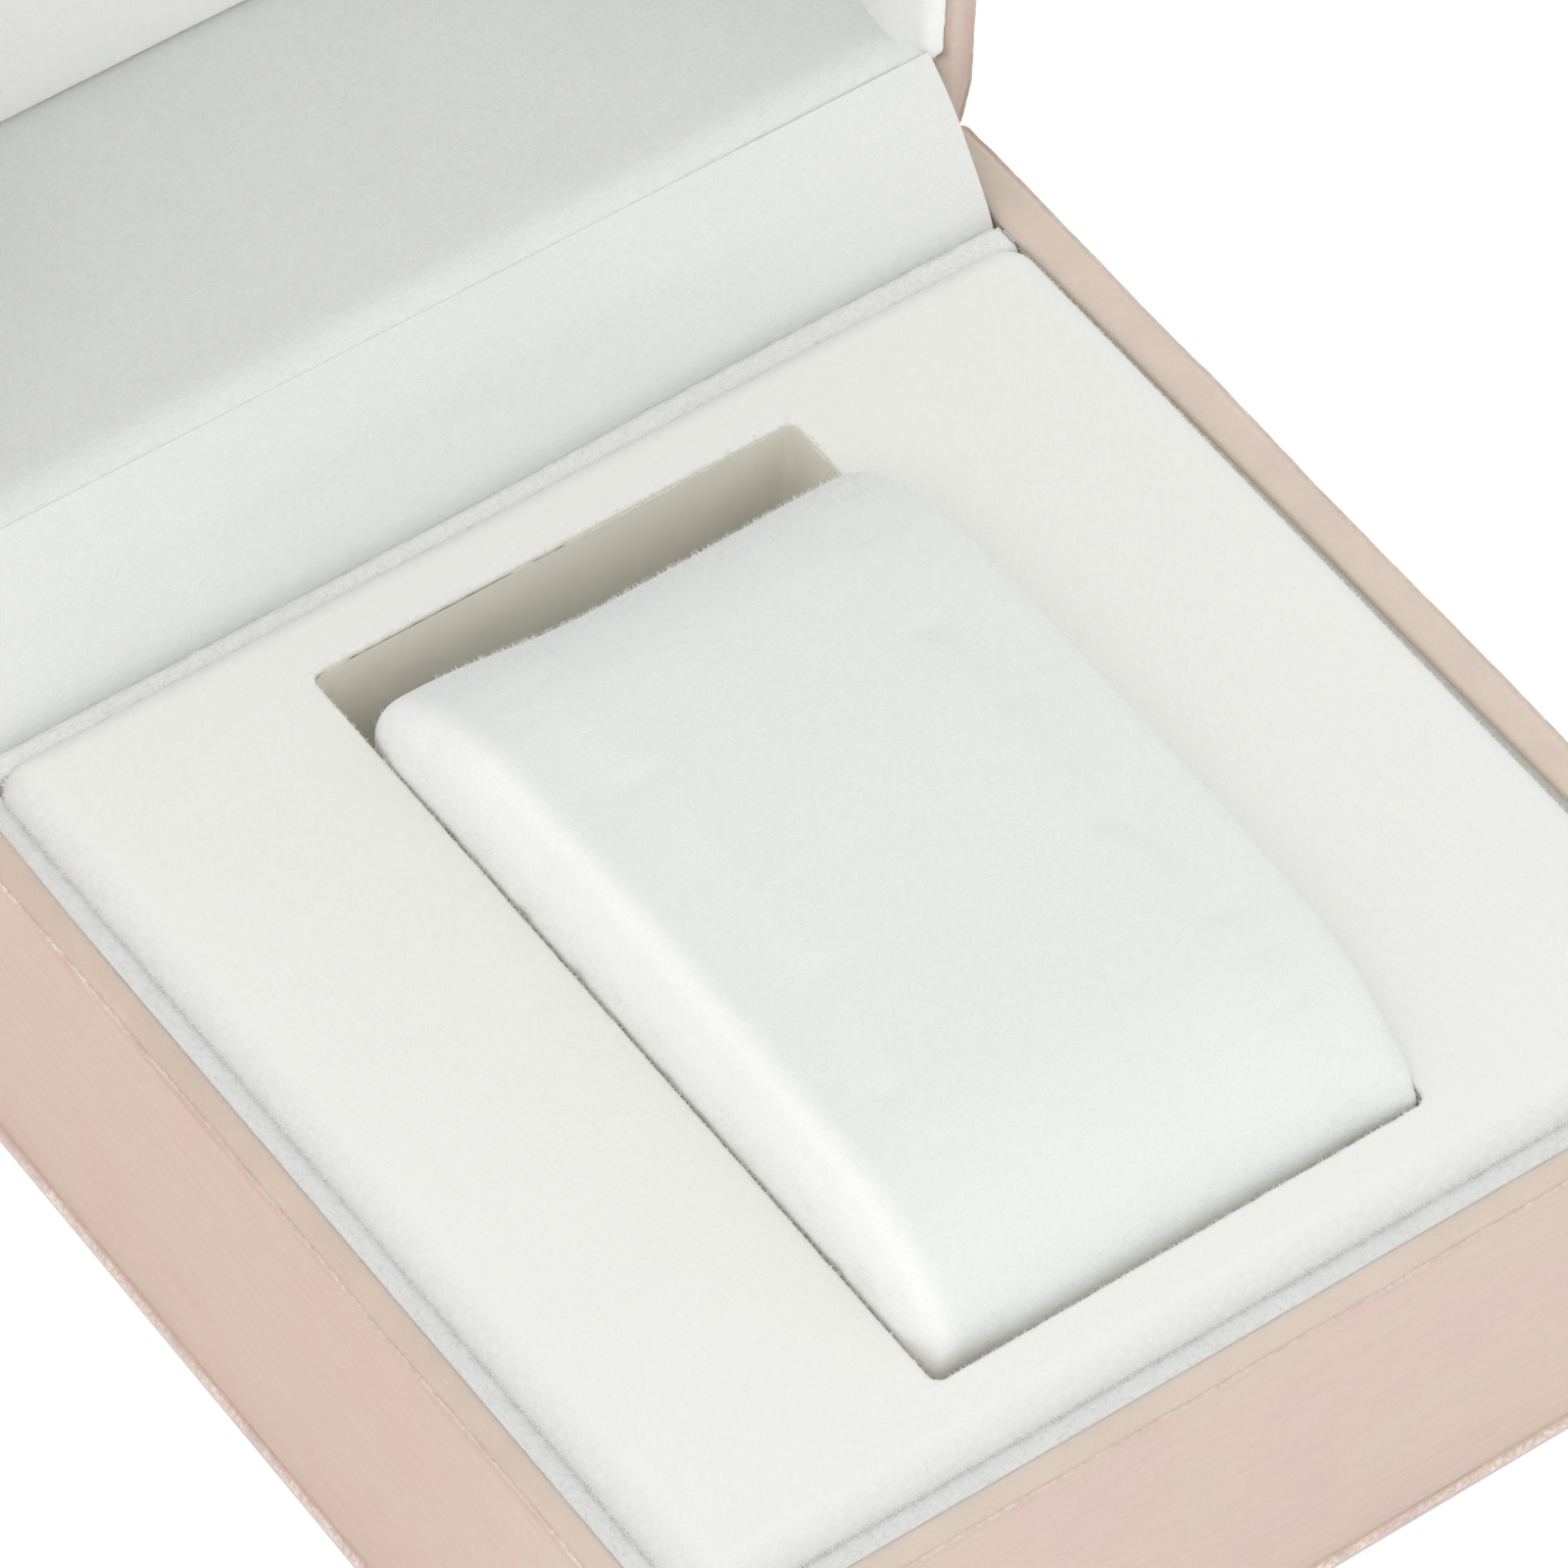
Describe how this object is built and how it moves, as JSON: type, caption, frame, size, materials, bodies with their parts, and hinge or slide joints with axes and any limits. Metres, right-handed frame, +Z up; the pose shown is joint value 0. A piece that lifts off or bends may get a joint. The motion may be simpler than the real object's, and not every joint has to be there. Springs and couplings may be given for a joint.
{
  "type": "jewelry box",
  "caption": "Hinged presentation box with leatherette walls, velvet lining, a lift-out insert with a rectangular well, and a lift-out pillow.",
  "frame": {"origin": "centre of the resting face under the base walls", "axes": "+Z up, +X along the hinge, +Y towards the hinge side; the lid is open"},
  "size_m": [0.101, 0.1416, 0.1354],
  "materials": {
    "pearl_leatherette": "pearl grain leatherette, satin",
    "shell_plastic": "moulded, matte",
    "bottom_paper": "smooth paper, matt",
    "grey_velvet": "short-pile velvet",
    "white_velvet": "short-pile velvet",
    "foam": "cut foam, matt",
    "card": "grey board",
    "rivet_brass": "satin",
    "hinge_steel": "satin"
  },
  "bodies": {
    "base": {"base_card_front": "card", "base_card_left": "card", "base_card_rear": "card", "base_card_right": "card", "base_leatherette": "pearl_leatherette", "base_plate": "card", "base_plate_wrap": "pearl_leatherette", "base_rivets": "rivet_brass", "base_sheet": "bottom_paper", "base_shell": "shell_plastic", "base_velvet_front": "grey_velvet", "base_velvet_left": "grey_velvet", "base_velvet_rear": "grey_velvet", "base_velvet_right": "grey_velvet", "bow_springs": "hinge_steel", "hinge_base_leaf": "hinge_steel", "hinge_flap": "grey_velvet", "hinge_pin": "hinge_steel", "well_floor": "white_velvet"},
    "lid": {"hinge_lid_leaf": "hinge_steel", "lid_card_front": "card", "lid_card_left": "card", "lid_card_rear": "card", "lid_card_right": "card", "lid_ceiling_card": "card", "lid_ceiling_foam": "foam", "lid_ceiling_velvet": "white_velvet", "lid_leatherette": "pearl_leatherette", "lid_rivets": "rivet_brass", "lid_shell": "shell_plastic", "lid_velvet_front": "grey_velvet", "lid_velvet_left": "grey_velvet", "lid_velvet_rear": "grey_velvet", "lid_velvet_right": "grey_velvet"},
    "insert": {"insert_cover": "white_velvet", "insert_foam": "foam"},
    "pillow": {"pillow_card": "card", "pillow_cover": "white_velvet", "pillow_foam": "foam"}
  },
  "joints": [
    {"name": "lid_hinge", "type": "hinge", "parent": "base", "child": "lid", "pos_m": [0, 0.05125, 0.03185], "axis": [1, 0, 0], "range_deg": [0, 90], "deforming": ["bow_springs", "hinge_flap"]},
    {"name": "insert_lift", "type": "slide", "parent": "base", "child": "insert", "axis": [0, 0, 1], "range_m": [0, 0.075]},
    {"name": "pillow_lift", "type": "slide", "parent": "base", "child": "pillow", "axis": [0, 0, 1], "range_m": [0, 0.075]}
  ]
}
